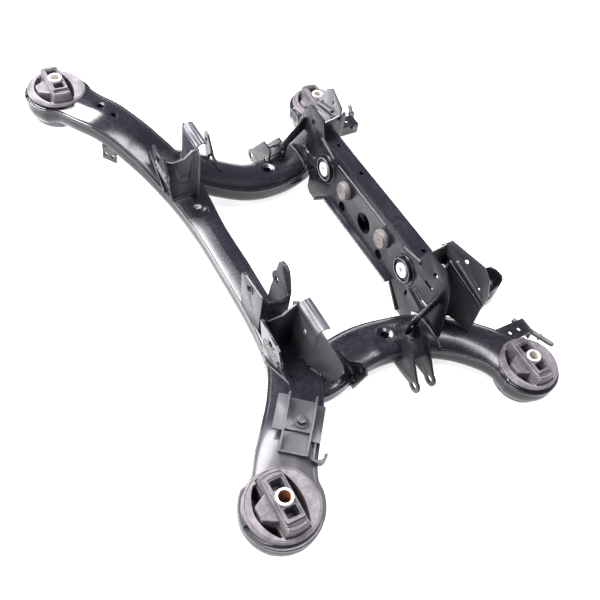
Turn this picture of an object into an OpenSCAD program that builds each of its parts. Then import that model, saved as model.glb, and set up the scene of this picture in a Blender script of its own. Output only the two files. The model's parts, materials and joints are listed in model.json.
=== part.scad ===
// Rear subframe: a welded carrier of pressed half shells that bolts to the body through four
// rubber bushings and carries the final drive and the suspension links.
// Front is -Y, the right side is +X, the floor is Z = 0.

/* [Size] */
// distance between the two front mounting sleeves
front_span = 960; // [900:5:1020]
// distance between the two rear mounting sleeves
rear_span = 800; // [760:5:840]
// fore and aft distance from the front sleeves to the rear sleeves
sleeve_pitch = 577; // [560:1:600]
// height of the front sleeve tops above the rear sleeve tops
sleeve_drop = 123; // [115:1:131]
// height of the front sleeve tops above the floor
lift = 211; // [205:1:230]
// distance from the front sleeves back to the middle of the whole part
half_length = 303.1; // [290:0.1:320]

/* [Pressings] */
// thickness of the pressed sheet
sheet = 3; // [2:0.25:4]
// width of the welded seam flange
seam_w = 3; // [2:0.5:6]
// half width of the middle of the front crossmember
cross_half = 29; // [26:1:34]
// half width of the front arms
arm_half = 45; // [42:1:48]
// half width of the side rails
rail_half = 42; // [38:1:45]
// half distance between the rail centre lines at the waist
waist = 236; // [228:1:246]
// corner radius of the pressings
corner = 13; // [9:0.5:16]
// how far each wall of a pressing leans in
draft = 3; // [1:0.5:5]

/* [Eyes and bushings] */
// outer radius of the round eye around each bushing
eye_r = 57; // [55:0.5:60]
// outer radius of the bushing can
can_r = 50; // [48:0.5:51]
// wall of the bushing can
can_wall = 3; // [2:0.5:4]
// radius of the collar on top of the can
collar_r = 55; // [53:0.5:56]
// outer radius of the mounting sleeve
sleeve_r = 13; // [12:0.5:15]
// bore of the mounting sleeve
sleeve_bore = 18; // [14:0.5:20]
// length of the core block along its long side
core_l = 70; // [60:1:76]
// width of the core block
core_w = 30; // [26:1:34]
// turn of the rear core blocks to the side
rear_turn = 0; // [0:1:40]

/* [Rear crossmember] */
// how far the plate lies behind the front sleeves
plate_y = 449; // [440:1:456]
// depth of the closed box behind the plate
box_d = 34; // [28:1:40]
// top of the box below the front sleeve tops
box_top = 45; // [40:1:52]
// bottom of the box below the front sleeve tops
box_low = 160; // [150:1:170]
// half distance between the two drive bushings
drive_half = 148; // [140:1:154]
// outer radius of a drive bushing
drive_r = 25; // [23:0.5:28]
// bore of a drive bushing sleeve
drive_bore = 12; // [10:0.5:16]
// radius of the cover plugs
plug_r = 20; // [17:0.5:22]

/* [Brackets] */
// thickness of the bracket plates
plate_t = 4; // [3:0.5:6]
// clear gap between the walls of an upper link bracket
link_gap = 58; // [50:1:64]
// lean of the front wall of an upper link bracket
link_lean = 8.6; // [0:0.2:12]
// bolt hole in the upper link bracket
link_bore = 12; // [10:0.5:14]
// bolt hole in the lower arm ears
ear_bore = 14; // [10:0.5:16]
// clear gap between the lower arm ears
ear_gap = 32; // [26:1:38]
// bolt hole in the drive mount ears
mount_bore = 12; // [10:0.5:14]
// radius of the exhaust hanger rod
rod_r = 5; // [4:0.5:7]

/* [Hidden] */
$fn = 48;
fs = front_span / 2;
rs = rear_span / 2;
steel = [0.13, 0.13, 0.14];
dark = [0.09, 0.09, 0.10];
grey = [0.42, 0.39, 0.40];
rubber = [0.22, 0.20, 0.21];
bright = [0.85, 0.85, 0.84];
eye_up = 16;
eye_low = 30;
front_seam = -46;
rear_seam = -sleeve_drop - 46;
rail_seam = rear_seam - 3;
bolt_z = -40;
bolt_x = 0.482 * fs;
mount_x = 106;
mount_z = -57;
ear_x = waist + 96;
ear_y = 374;
ear_z = rail_seam - 18;
drive_z = -100;
wide = waist + 44;
rail_top = rail_seam + 26.8;
rail_in = waist - 35;
// towers: height, slope and length of the fold, lean of the cap, place and depth of the stay
fold_z = -24.5;
fold_slope = 22.2;
fold_l = 103;
cap_lean = 15.6;
stay_x = 88;
stay_d = 37;

// one smooth curve through a list of control rows
function blend(a, b, c, d, t) = 0.5 * (2 * b + (c - a) * t + (2 * a - 5 * b + 4 * c - d) * t * t
    + (3 * b - a - 3 * c + d) * t * t * t);
function curve(c, n) = [
    for (i = [0 : len(c) - 2], k = [0 : n - 1])
        blend(c[max(i - 1, 0)], c[i], c[i + 1], c[min(i + 2, len(c) - 1)], k / n),
    c[len(c) - 1]
];
function flip(c) = [for (i = [len(c) - 1 : -1 : 1]) [-c[i][0], c[i][1], c[i][2], c[i][3], c[i][4], c[i][5]]];
function across(p, i) = let (
    a = p[max(i - 1, 0)],
    b = p[min(i + 1, len(p) - 1)],
    d = [b[0] - a[0], b[1] - a[1]] / norm([b[0] - a[0], b[1] - a[1]])
) [-d[1], d[0]];

// rows: x, y, seam height, half width, height above the seam, depth below it
cross_rows = [
    [0, 168, -138, cross_half, 10, 30],
    [0.21 * fs, 167, -138, cross_half, 10, 30],
    [0.40 * fs, 164, -132, cross_half + 7, 13, 31],
    [0.54 * fs, 150, -113, arm_half - 1, 18, 32],
    [fs - 150, 108, -76, arm_half, 20, 32],
    [fs - 100, 70, -51, arm_half, 20, 30],
    [fs - 60, 39, -46, arm_half + 1, 18, 29],
    [fs - 17, 14, front_seam, arm_half + 2, eye_up, eye_low]
];
cross_half_path = curve(cross_rows, 2);
cross_path = concat(flip(cross_half_path), cross_half_path);
cross_mid = len(cross_half_path) - 1;
rail_rows = [
    [waist + 40, 152, -116, rail_half + 4, 16, 26],
    [waist + 37, 195, -124, rail_half + 4, 22, 30],
    [waist + 16, 252, -148, rail_half + 2, 25, 30],
    [waist, 312, rail_seam + 7, rail_half + 1, 26, 30],
    [waist, 370, rail_seam, rail_half, 26, 30],
    [waist + 14, 430, rail_seam, rail_half, 26, 30],
    [waist + 49, sleeve_pitch - 85, rail_seam, rail_half, 26, 30],
    [rs - 66, sleeve_pitch - 36, rail_seam + 2, rail_half + 1, 21, 31],
    [rs - 20, sleeve_pitch - 8, rear_seam, rail_half + 5, eye_up, 32]
];
rail_path = curve(rail_rows, 3);

// outline of a pressing above and below the seam, and the closed outline of both
function over(q) = let (
    a = q[3], h = q[4], r = min(corner, h - sheet - 1.5), b = a - draft, f = a + seam_w
) [[f, sheet], [a, sheet], [b, h - r], [b - 0.29 * r, h - 0.29 * r], [b - r, h],
   [r - b, h], [0.29 * r - b, h - 0.29 * r], [-b, h - r], [-a, sheet], [-f, sheet]];
function under(q) = let (
    a = q[3], h = q[5], r = min(corner + 3, h - sheet - 1.5), b = a - draft, f = a + seam_w
) [[-f, -sheet], [-a, -sheet], [-b, r - h], [0.29 * r - b, 0.29 * r - h], [r - b, -h],
   [b - r, -h], [b - 0.29 * r, 0.29 * r - h], [b, r - h], [a, -sheet], [f, -sheet]];
function closed(q) = concat(over(q), under(q));
function upper(q) = let (
    a = q[3], h = q[4], r = min(corner, h - sheet - 1.5), b = a - draft, f = a + seam_w
) concat([[f, 0]], over(q), [[-f, 0], [sheet - a, 0], [sheet - b, h - r], [r - b, h - sheet],
   [b - r, h - sheet], [b - sheet, h - r], [a - sheet, 0]]);
function lower(q) = let (
    a = q[3], h = q[5], r = min(corner + 3, h - sheet - 1.5), b = a - draft, f = a + seam_w
) concat([[-f, 0]], under(q), [[f, 0], [a - sheet, 0], [b - sheet, r - h], [b - r, sheet - h],
   [r - b, sheet - h], [sheet - b, r - h], [sheet - a, 0]]);

// true for the walls that lie below the seam
function below(kind, j) = kind == 2 || (kind == 0 && j > 9);

// a solid drawn through the sections of the rows i0 to i1 of path p
module sweep(p, kind, i0, i1) {
    sec = [for (i = [i0 : i1]) kind == 1 ? upper(p[i]) : kind == 2 ? lower(p[i]) : closed(p[i])];
    m = len(sec[0]);
    k = len(sec);
    pts = [
        for (i = [0 : k - 1])
            let (n = across(p, i0 + i), c = p[i0 + i])
                for (q = sec[i]) [c[0] + n[0] * q[0], c[1] + n[1] * q[0], c[2] + q[1]]
    ];
    first = [[for (j = [0 : m - 1]) j]];
    last = [[for (j = [0 : m - 1]) k * m - 1 - j]];
    left = [for (i = [0 : k - 2]) p[i0 + i][0] + p[i0 + i + 1][0] < 0];
    one = [
        for (i = [0 : k - 2], j = [0 : m - 1])
            let (a = i * m + j, b = i * m + (j + 1) % m)
                below(kind, j) != left[i] ? [b, a, b + m] : [b, a, a + m]
    ];
    two = [
        for (i = [0 : k - 2], j = [0 : m - 1])
            let (a = i * m + j, b = i * m + (j + 1) % m)
                below(kind, j) != left[i] ? [a, a + m, b + m] : [b, a + m, b + m]
    ];
    polyhedron(points = pts, faces = concat(first, last, one, two), convexity = 8);
}

// everything below is drawn from the point midway between the front sleeve tops
module place() {
    translate([0, -half_length, lift]) children();
}
module pair(side) {
    if (side > 0) children();
    else mirror([1, 0, 0]) children();
}
module tube(r, ri, z0, z1) {
    translate([0, 0, z0]) difference() {
        cylinder(r = r, h = z1 - z0);
        translate([0, 0, -1]) cylinder(r = ri, h = z1 - z0 + 2);
    }
}
// a plate of thickness t standing across the part, front face at y
module wall_xz(y, t, pts) {
    translate([0, y + t, 0]) rotate([90, 0, 0]) linear_extrude(t) polygon(pts);
}
// a plate of thickness t standing along the part, inner face at x
module wall_yz(x, t, pts) {
    translate([x, 0, 0]) rotate([90, 0, 90]) linear_extrude(t) polygon(pts);
}
module bore_y(x, y, z, d, l) {
    translate([x, y, z]) rotate([-90, 0, 0]) cylinder(d = d, h = l);
}
module bore_z(x, y, z, d, l) {
    translate([x, y, z]) cylinder(d = d, h = l);
}
// a raised round bead from one point of a standing plate to another
module bead_xz(x1, z1, x2, z2, y, r) {
    l = norm([x2 - x1, z2 - z1]);
    translate([x1, y, z1]) rotate([0, atan2(x2 - x1, z2 - z1), 0]) rotate_extrude() intersection() {
        union() {
            translate([0, 0]) square([r, l]);
            circle(r = r);
            translate([0, l]) circle(r = r);
        }
        translate([0, -r]) square([r, l + 2 * r]);
    }
}
module rail_core(i0, i1) {
    sweep(rail_path, 0, i0, i1);
}
module arm_core() {
    sweep(cross_path, 0, cross_mid + 4, cross_mid + 12);
}
// round eyes: collars that the arms and rails are welded to, with the seam carried round
module eye(low) {
    rotate_extrude() polygon([
        [can_r, -low], [eye_r - 4, -low], [eye_r, 4 - low], [eye_r, -sheet], [eye_r + seam_w, -sheet],
        [eye_r + seam_w, sheet], [eye_r, sheet], [eye_r, eye_up - 3], [eye_r - 3, eye_up], [can_r, eye_up]
    ]);
}
module eye_room(x, y, z) {
    translate([x, y, z - 80]) cylinder(r = eye_r + seam_w + 0.1, h = 160);
}
module front_left_eye() { color(steel) place() translate([-fs, 0, front_seam]) eye(eye_low); }
module front_right_eye() { color(steel) place() translate([fs, 0, front_seam]) eye(eye_low); }
module rear_left_eye() { color(steel) place() translate([-rs, sleeve_pitch, rear_seam]) eye(eye_low + 2); }
module rear_right_eye() { color(steel) place() translate([rs, sleeve_pitch, rear_seam]) eye(eye_low + 2); }

// front crossmember with its two rising arms
module front_crossmember_upper() {
    color(steel) place() difference() {
        sweep(cross_path, 1, 0, len(cross_path) - 1);
        for (s = [-1, 1]) eye_room(s * fs, 0, front_seam);
        bore_z(-0.32 * fs, 166, -150, 14, 40);
        for (k = [0, 1]) bore_z(-(fs - 74) + 30 * k, 62 + 17 * k, -50, 11, 40);
    }
}
module front_crossmember_lower() {
    color(steel) place() difference() {
        sweep(cross_path, 2, 0, len(cross_path) - 1);
        for (s = [-1, 1]) eye_room(s * fs, 0, front_seam);
        for (s = [-1, 1]) bore_z(s * 0.15 * fs, 168, -180, 16, 30);
    }
}

// side rails from the crossmember back to the rear eyes
module rail_shell(kind) {
    difference() {
        sweep(rail_path, kind, 0, len(rail_path) - 1);
        arm_core();
        eye_room(rs, sleeve_pitch, rear_seam);
        if (kind == 1) bore_z(waist, 361, rail_seam, 15, 60);
        else bore_z(waist + 4, 330, rail_seam - 60, 18, 60);
    }
}
module left_rail_upper() { color(steel) place() pair(-1) rail_shell(1); }
module left_rail_lower() { color(steel) place() pair(-1) rail_shell(2); }
module right_rail_upper() { color(steel) place() rail_shell(1); }
module right_rail_lower() { color(steel) place() rail_shell(2); }

// body bushings: can with collar, rubber with two windows, core block and sleeve
module bushing_at(front, side) {
    x = front ? fs : rs;
    y = front ? 0 : sleeve_pitch;
    z = front ? 0 : -sleeve_drop;
    turn = front ? 0 : rear_turn;
    place() translate([side * x, y, z]) rotate([0, 0, side * turn]) children();
}
module can() {
    tube(can_r, can_r - can_wall, -86, -30);
    for (s = [-1, 1])
        intersection() {
            tube(collar_r, can_r - can_wall, -30, -25);
            translate([-60, s * 41 - 20, -31]) cube([120, 40, 10]);
        }
}
module core_body() {
    intersection() {
        translate([-core_l / 2, -core_w / 2, -66]) cube([core_l, core_w, 63]);
        cylinder(r1 = core_l / 2 + 14, r2 = core_l / 2 - 4, h = 120, center = true);
    }
}
module core() {
    difference() {
        core_body();
        translate([0, 0, -70]) cylinder(r = sleeve_r, h = 80);
        for (s = [-1, 1])
            translate([s * (sleeve_r + 6.5) - 5, -8, -16]) cube([10, 16, 20]);
    }
}
module bush_rubber() {
    r = can_r - can_wall;
    h = core_w / 2 + 4;
    difference() {
        union() {
            translate([0, 0, -80]) cylinder(r = r, h = 52);
            intersection() {
                translate([0, 0, -30]) cylinder(r1 = r, r2 = r - 3, h = 23);
                translate([-60, -h, -30]) cube([120, 2 * h, 23]);
            }
        }
        core_body();
        translate([0, 0, -90]) cylinder(r = sleeve_r, h = 60);
        intersection() {
            translate([0, 0, -90]) cylinder(r = r - 5, h = 100);
            union() {
                translate([-38, h, -90]) cube([76, 11, 100]);
                difference() {
                    translate([-38, -h - 19, -90]) cube([76, 19, 100]);
                    translate([0, 0, -62]) linear_extrude(38)
                        polygon([[-22, -h], [22, -h], [11, -h - 14], [-11, -h - 14]]);
                }
            }
        }
    }
}
module sleeve() {
    tube(sleeve_r, sleeve_bore / 2, -88, 0);
}
module front_left_can() { color(grey) bushing_at(true, -1) can(); }
module front_right_can() { color(grey) bushing_at(true, 1) can(); }
module rear_left_can() { color(grey) bushing_at(false, -1) can(); }
module rear_right_can() { color(grey) bushing_at(false, 1) can(); }
module front_left_rubber() { color(rubber) bushing_at(true, -1) bush_rubber(); }
module front_right_rubber() { color(rubber) bushing_at(true, 1) bush_rubber(); }
module rear_left_rubber() { color(rubber) bushing_at(false, -1) bush_rubber(); }
module rear_right_rubber() { color(rubber) bushing_at(false, 1) bush_rubber(); }
module front_left_core() { color(grey) bushing_at(true, -1) core(); }
module front_right_core() { color(grey) bushing_at(true, 1) core(); }
module rear_left_core() { color(grey) bushing_at(false, -1) core(); }
module rear_right_core() { color(grey) bushing_at(false, 1) core(); }
module front_left_sleeve() { color(bright) bushing_at(true, -1) sleeve(); }
module front_right_sleeve() { color(bright) bushing_at(true, 1) sleeve(); }
module rear_left_sleeve() { color(bright) bushing_at(false, -1) sleeve(); }
module rear_right_sleeve() { color(bright) bushing_at(false, 1) sleeve(); }

// rear crossmember: a pressed plate in front and a folded channel behind it
module plate_half() {
    wall_xz(plate_y, sheet, [
        [-1, -box_top], [waist - 64, -box_top], [waist - 48, -6], [wide - 38, -6], [wide - 22, -28], [wide - 8, -62],
        [wide, -110], [wide + 4, rail_top], [waist - 7, rail_top], [waist - 24, rail_top - 13],
        [rail_in, rail_seam + 5], [rail_in, -197], [rail_in - 12, -207], [rail_in - 33, -207],
        [rail_in - 79, -box_low], [-1, -box_low]
    ]);
    intersection() {
        union() {
            bead_xz(waist - 58, -48, waist - 106, -60, plate_y + 2, 6);
            bead_xz(waist - 58, -124, waist - 14, -136, plate_y + 2, 6);
        }
        translate([0, plate_y - 20, -300]) cube([300, 20 + sheet, 400]);
    }
}
module rear_plate() {
    color(steel) place() difference() {
        union() {
            plate_half();
            mirror([1, 0, 0]) plate_half();
            translate([77 - rail_in, plate_y - 12, -box_low]) cube([2 * rail_in - 154, 13, sheet]);
        }
        for (s = [-1, 1]) {
            bore_y(s * drive_half, plate_y - 20, drive_z, 2 * drive_r, 40);
            bore_y(s * 70.5, plate_y - 20, -93, 2 * plug_r - 8, 40);
            bore_y(s * 71, plate_y - 20, -139, 22, 40);
            translate([s * (rail_in - 29) - 3, plate_y - 20, -150]) cube([6, 40, 14]);
            bore_y(s * (waist - 14), plate_y - 20, -36, 11, 40);
        }
        bore_y(6, plate_y - 20, -114, 44, 40);
        translate([waist - 31, plate_y - 20, -74]) cube([22, 40, 7]);
    }
}
module rear_channel() {
    y0 = plate_y + sheet;
    w = rail_in - 4;
    color(dark) place() difference() {
        translate([-w, y0, -box_low]) cube([2 * w, box_d, box_low - box_top]);
        translate([-300, y0 - 1, -box_low + sheet])
            cube([600, box_d + 1 - sheet, box_low - box_top - 2 * sheet]);
        for (s = [-1, 1]) bore_y(s * drive_half, y0 - 20, drive_z, 2 * drive_r, 80);
        for (x = [-150, -62, 70, 158]) bore_z(x, y0 + 18, -box_top - 20, 9, 40);
    }
}

// drive bushings in the rear crossmember and cover plugs beside them
module drive_at(s) {
    place() translate([s * drive_half, plate_y - 7, drive_z]) rotate([-90, 0, 0]) children();
}
module drive_shell() { tube(drive_r, drive_r - 2.5, 0, box_d + sheet + 14); }
module drive_rubber() { tube(drive_r - 2.5, 15, 3, box_d + sheet + 11); }
module drive_sleeve() { tube(15, drive_bore / 2, -1, box_d + sheet + 15); }
module left_drive_shell() { color(grey) drive_at(-1) drive_shell(); }
module right_drive_shell() { color(grey) drive_at(1) drive_shell(); }
module left_drive_rubber() { color(rubber) drive_at(-1) drive_rubber(); }
module right_drive_rubber() { color(rubber) drive_at(1) drive_rubber(); }
module left_drive_sleeve() { color(bright) drive_at(-1) drive_sleeve(); }
module right_drive_sleeve() { color(bright) drive_at(1) drive_sleeve(); }
module plug(s) {
    place() translate([s * 70.5, plate_y, -93]) rotate([90, 0, 0]) difference() {
        union() {
            cylinder(r = plug_r, h = 7);
            translate([0, 0, 7]) cylinder(r1 = plug_r - 2, r2 = plug_r - 3, h = 4);
            translate([0, 0, -10]) cylinder(r = plug_r - 4, h = 10);
        }
        translate([0, 0, 9.5]) cylinder(r = 2, h = 5);
        translate([0, 0, -11]) cylinder(r = plug_r - 7, h = 10);
    }
}
module left_plug() { color(grey) plug(-1); }
module right_plug() { color(grey) plug(1); }

// upper link brackets: open troughs welded on top of the arms
module link_bracket() {
    xi = 0.41 * fs;
    xo = xi + 66;
    y0 = 115;
    y1 = y0 + 2 + link_gap;
    // flat pad round the bolt hole of the leaning wall
    pad_t = plate_t + 1;
    difference() {
        union() {
            translate([0, y0, bolt_z]) rotate([link_lean, 0, 0]) wall_xz(-plate_t / 2, plate_t, [
                [xi, -92], [xi, 24], [xi + 8, 28], [xo - 14, 20], [xo - 4, 14], [xo + 4, -27],
                [xo + 40, -28], [xo + 44, -36], [xo + 36, -66], [xo, -92]
            ]);
            wall_yz(xi, plate_t, [
                [y0 - 3, -16], [y0 + 12, -26], [y0 + 34, -24], [y1 - 8, -8], [y1 + 1, -6], [y1 + 1, -132],
                [y0 + 12, -132]
            ]);
            translate([xi - 1, y0 + 36, -72]) rotate([0, 90, 0]) cylinder(r = 10, h = 2);
            translate([bolt_x, y0 + pad_t / 2, bolt_z]) rotate([90, 0, 0]) cylinder(r = link_bore, h = pad_t);
            wall_xz(y1, plate_t, [
                [xi - 11, -128], [xi - 11, -14], [xi, -2], [xi + 24, 4], [xo, 3], [xo, -124]
            ]);
            translate([xi + 6, y1, 0]) cube([xo - xi - 6, 11, 3]);
            translate([xo - 1, y1, 0]) rotate([0, 0, 22.6]) wall_xz(0, plate_t, [
                [0, -120], [0, 3], [9, 0], [58, -42], [64, -57], [57, -84], [30, -112]
            ]);
        }
        sweep(cross_path, 0, cross_mid + 1, cross_mid + 12);
        rail_core(0, 6);
        bore_y(bolt_x, 80, bolt_z, link_bore, 160);
        translate([xo - 1, y1, 0]) rotate([0, 0, 22.6]) bore_y(32, -20, -86, 8, 40);
    }
}
module left_link_bracket() { color(steel) place() pair(-1) link_bracket(); }
module right_link_bracket() { color(steel) place() link_bracket(); }

// front mount of the final drive: two ears and a back wall on the right of the crossmember
module drive_mount() {
    y1 = 192;
    color(steel) place() difference() {
        union() {
            wall_xz(140, plate_t, [
                [mount_x - 20, -138], [mount_x - 33, mount_z - 2], [mount_x - 29, mount_z + 8],
                [mount_x - 18, mount_z + 13], [mount_x + 44, mount_z + 19], [mount_x + 44, -138]
            ]);
            wall_xz(y1, plate_t, [
                [mount_x - 20, -138], [mount_x - 16, -96], [mount_x - 9, mount_z], [mount_x - 3, mount_z + 41],
                [mount_x + 7, mount_z + 53], [mount_x + 18, mount_z + 57], [mount_x + 28, mount_z + 52],
                [mount_x + 35, mount_z + 36], [mount_x + 44, mount_z + 14], [mount_x + 44, -138]
            ]);
            bore_y(mount_x, y1, mount_z, 34, plate_t);
            wall_yz(mount_x + 40, plate_t, [
                [140, -138], [140, mount_z + 19], [152, mount_z + 2], [184, mount_z - 4],
                [y1 + plate_t, mount_z + 10], [y1 + plate_t, -138]
            ]);
        }
        sweep(cross_path, 0, cross_mid, cross_mid + 5);
        bore_y(mount_x, 130, mount_z, mount_bore, 90);
    }
}

// towers behind the plate ends: a steep cap with a sloping fold, on a standing wall
module tower_frame() {
    translate([waist - 29, plate_y + 37, 0]) rotate([0, 0, 12.1]) children();
}
module fold_frame() {
    tower_frame() translate([0, 0, fold_z]) rotate([0, fold_slope, 0]) children();
}
module tower_cap() {
    difference() {
        union() {
            fold_frame() rotate([-cap_lean, 0, 0]) {
                wall_xz(0, sheet, [
                    [0, 0], [fold_l, 0], [fold_l - 11, 24], [70, 44], [46, 51], [26, 44], [-23, 28], [-30, 4]
                ]);
                bead_xz(14, 12, fold_l - 18, 9, 0, 5);
            }
            fold_frame() wall_xz(0, sheet, [[0, 0], [fold_l, 0], [fold_l - 2, -9], [2, -9]]);
            wall_yz(waist - 49, sheet, [
                [plate_y + sheet, -12], [plate_y + 34, -4], [plate_y + 46, 6], [plate_y + 52, -2],
                [plate_y + 52, -60], [plate_y + box_d + sheet, -60], [plate_y + box_d + sheet, -box_top],
                [plate_y + sheet, -box_top]
            ]);
        }
        fold_frame() rotate([-cap_lean, 0, 0]) {
            bore_y(21, -10, 27.6, 8, 30);
            bore_y(73, -10, 16, 5, 30);
        }
    }
}
module tower_wall() {
    low = fold_z - 2;
    wall_l = fold_l - 9;
    difference() {
        tower_frame() wall_xz(sheet, sheet, [
            [0, low], [wall_l, low - wall_l * tan(fold_slope)], [wall_l, rail_seam], [40, rail_seam], [0, -120]
        ]);
        rail_core(12, 20);
    }
}
module left_tower_cap() { color(steel) place() pair(-1) tower_cap(); }
module right_tower_cap() { color(steel) place() tower_cap(); }
module left_tower_wall() { color(dark) place() pair(-1) tower_wall(); }
module right_tower_wall() { color(dark) place() tower_wall(); }

// small stay behind the right tower: a side flange, a back plate and its bolt
module stay() {
    color(dark) place() tower_frame() difference() {
        union() {
            wall_yz(stay_x, sheet, [
                [2 * sheet, -85], [2 * sheet, -64], [2 * sheet + 11, -35], [2 * sheet + stay_d, -35],
                [2 * sheet + stay_d, -85]
            ]);
            wall_xz(sheet + stay_d, sheet, [
                [stay_x - 40, -66], [stay_x - 40, -30], [stay_x - 28, -14], [stay_x - 16, -11],
                [stay_x - 2, -13], [stay_x + sheet, -21], [stay_x + sheet, -66]
            ]);
        }
        bore_y(stay_x - 15, 30, -48, 9, 30);
    }
}
module stay_bolt() {
    color(bright) place() tower_frame() translate([stay_x - 15, sheet + stay_d, -48]) rotate([90, 0, 0]) {
        cylinder(d = 17, h = 2);
        cylinder(d = 13, h = 8, $fn = 6);
        translate([0, 0, -10]) cylinder(d = 9, h = 11);
    }
}

// straps from the plate ends forward to the rails
module strap() {
    difference() {
        union() {
            wall_yz(waist + 15, sheet, [
                [plate_y, -46], [plate_y, -78], [plate_y - 34, -112], [plate_y - 40, -170],
                [plate_y - 62, -170], [plate_y - 52, -104], [plate_y - 14, -60], [plate_y - 8, -46]
            ]);
        }
        rail_core(9, 16);
        translate([waist, plate_y - 46, -125]) rotate([0, 90, 0]) cylinder(d = 7, h = 60);
    }
}
module left_strap() { color(dark) place() pair(-1) strap(); }
module right_strap() { color(dark) place() strap(); }

// lower arm ears hanging outboard of the rails
module arm_ear(y) {
    wall_xz(y, plate_t, [
        [waist + 20, -118], [waist + 52, -118], [ear_x + 12, ear_z], [ear_x - 13, ear_z - 12],
        [waist + 20, -205]
    ]);
    bore_y(ear_x, y, ear_z - 4, 30, plate_t);
}
module lower_bracket() {
    y1 = ear_y + plate_t + ear_gap;
    difference() {
        union() {
            arm_ear(ear_y);
            arm_ear(y1);
            translate([waist + 40, ear_y, -131]) rotate([0, 42, 0])
                cube([34, 2 * plate_t + ear_gap, plate_t]);
        }
        rail_core(8, 17);
        bore_y(ear_x, ear_y - 10, ear_z - 4, ear_bore, 80);
    }
}
module left_lower_bracket() { color(steel) place() pair(-1) lower_bracket(); }
module right_lower_bracket() { color(steel) place() lower_bracket(); }

// single ears on the outer shoulder of each rail
module shoulder_ear() {
    difference() {
        union() {
            wall_xz(250, plate_t, [
                [waist + 6, -160], [waist + 6, -120], [waist + 40, -112], [waist + 68, -78],
                [waist + 82, -76], [waist + 88, -92], [waist + 70, -160]
            ]);
        }
        rail_core(2, 9);
        bore_y(waist + 74, 240, -94, 9, 30);
    }
}
module left_shoulder_ear() { color(steel) place() pair(-1) shoulder_ear(); }
module right_shoulder_ear() { color(steel) place() shoulder_ear(); }

// exhaust hangers behind the rear eyes
module hanger() {
    x = rs - 92;
    difference() {
        union() {
            translate([x, sleeve_pitch - 30, rear_seam + 6]) cube([34, 96, sheet]);
            translate([x, sleeve_pitch - 30, rear_seam - 16]) cube([sheet, 96, 24]);
            translate([x, sleeve_pitch + 63, rear_seam - 16]) cube([34, sheet, 24]);
        }
        rail_core(18, 24);
        for (k = [0, 1]) bore_z(x + 18, sleeve_pitch + 20 + 22 * k, rear_seam, 8, 20);
        hanger_line() cylinder(r = rod_r, h = 200, center = true);
    }
}
module hanger_line() {
    translate([rs - 88, sleeve_pitch + 56, rear_seam + 1]) rotate([0, 90, 24]) children();
}
module rod() {
    hanger_line() {
        translate([0, 0, -14]) cylinder(r = rod_r, h = 86);
        translate([0, 0, 72]) sphere(r = rod_r);
        translate([0, 0, 44]) cylinder(r = rod_r + 2.5, h = 4);
    }
}
module left_hanger() { color(dark) place() pair(-1) hanger(); }
module right_hanger() { color(dark) place() hanger(); }
module left_rod() { color(grey) place() pair(-1) rod(); }
module right_rod() { color(grey) place() rod(); }

// line clip saddle on the right arm with its bolt, and the hook beside it
module arm_frame(side) {
    translate([side * (fs - 94), 75, -31]) rotate([0, 0, side * -37.8]) children();
}
module saddle() {
    color(steel) place() difference() {
        arm_frame(1) difference() {
            union() {
                translate([-45, -22, 6]) cube([53, 44, sheet]);
                translate([5, -22, 1]) cube([40, 44, sheet]);
                translate([5, -22, 1]) cube([sheet, 44, 8]);
                for (v = [-22, 19])
                    translate([0, v + sheet, 0]) rotate([90, 0, 0]) linear_extrude(sheet)
                        polygon([[-45, -24], [-45, 27], [-20, 26], [45, 9], [45, -12]]);
                translate([42, -22, -12]) cube([sheet, 44, 21]);
                translate([-45, -37, 13]) cube([60, 16, sheet]);
                translate([-45, 21, -1]) cube([62, 16, sheet]);
            }
            translate([-8, 4, -10]) cylinder(d = 9, h = 30);
        }
        sweep(cross_path, 0, cross_mid + 6, cross_mid + 14);
    }
}
module saddle_washer() {
    color(grey) place() arm_frame(1) translate([-8, 4, 6]) tube(11, 4.5, sheet, sheet + 2);
}
module saddle_bolt() {
    color(bright) place() arm_frame(1) translate([-8, 4, 6]) {
        translate([0, 0, sheet + 2]) cylinder(d = 15, h = 7, $fn = 6);
        cylinder(d = 9, h = sheet + 3);
    }
}
module hook() {
    color(grey) place() difference() {
        arm_frame(1) translate([34, 36, -10]) {
            rotate([0, 0, -90]) rotate_extrude(angle = 195) translate([10, 0]) square([4, 13]);
            translate([-14, -14, 0]) cube([14.5, 4, 13]);
        }
        arm_frame(1) translate([-60, 19, -30]) cube([105, sheet, 60]);
        sweep(cross_path, 0, cross_mid + 6, cross_mid + 14);
    }
}

// small two-hole bracket under the left arm
module hose_bracket() {
    color(steel) place() difference() {
        translate([-(fs - 142), 54, -78]) rotate([0, 0, 37]) {
            difference() {
                union() {
                    translate([-16, -4, -34]) cube([32, plate_t, 34]);
                    translate([-16, -4, -3]) cube([32, 30, 3]);
                }
                for (s = [-1, 1])
                    translate([s * 8, 10, -20]) rotate([90, 0, 0]) cylinder(d = 7, h = 30);
            }
        }
        mirror([1, 0, 0]) sweep(cross_path, 0, cross_mid + 7, cross_mid + 14);
    }
}

front_crossmember_upper();
front_crossmember_lower();
left_rail_upper();
left_rail_lower();
right_rail_upper();
right_rail_lower();
front_left_eye();
front_right_eye();
rear_left_eye();
rear_right_eye();
rear_plate();
rear_channel();
front_left_can();
front_right_can();
rear_left_can();
rear_right_can();
front_left_rubber();
front_right_rubber();
rear_left_rubber();
rear_right_rubber();
front_left_core();
front_right_core();
rear_left_core();
rear_right_core();
front_left_sleeve();
front_right_sleeve();
rear_left_sleeve();
rear_right_sleeve();
left_drive_shell();
right_drive_shell();
left_drive_rubber();
right_drive_rubber();
left_drive_sleeve();
right_drive_sleeve();
left_plug();
right_plug();
left_link_bracket();
right_link_bracket();
drive_mount();
left_tower_cap();
right_tower_cap();
left_tower_wall();
right_tower_wall();
stay();
stay_bolt();
left_strap();
right_strap();
left_lower_bracket();
right_lower_bracket();
left_shoulder_ear();
right_shoulder_ear();
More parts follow.
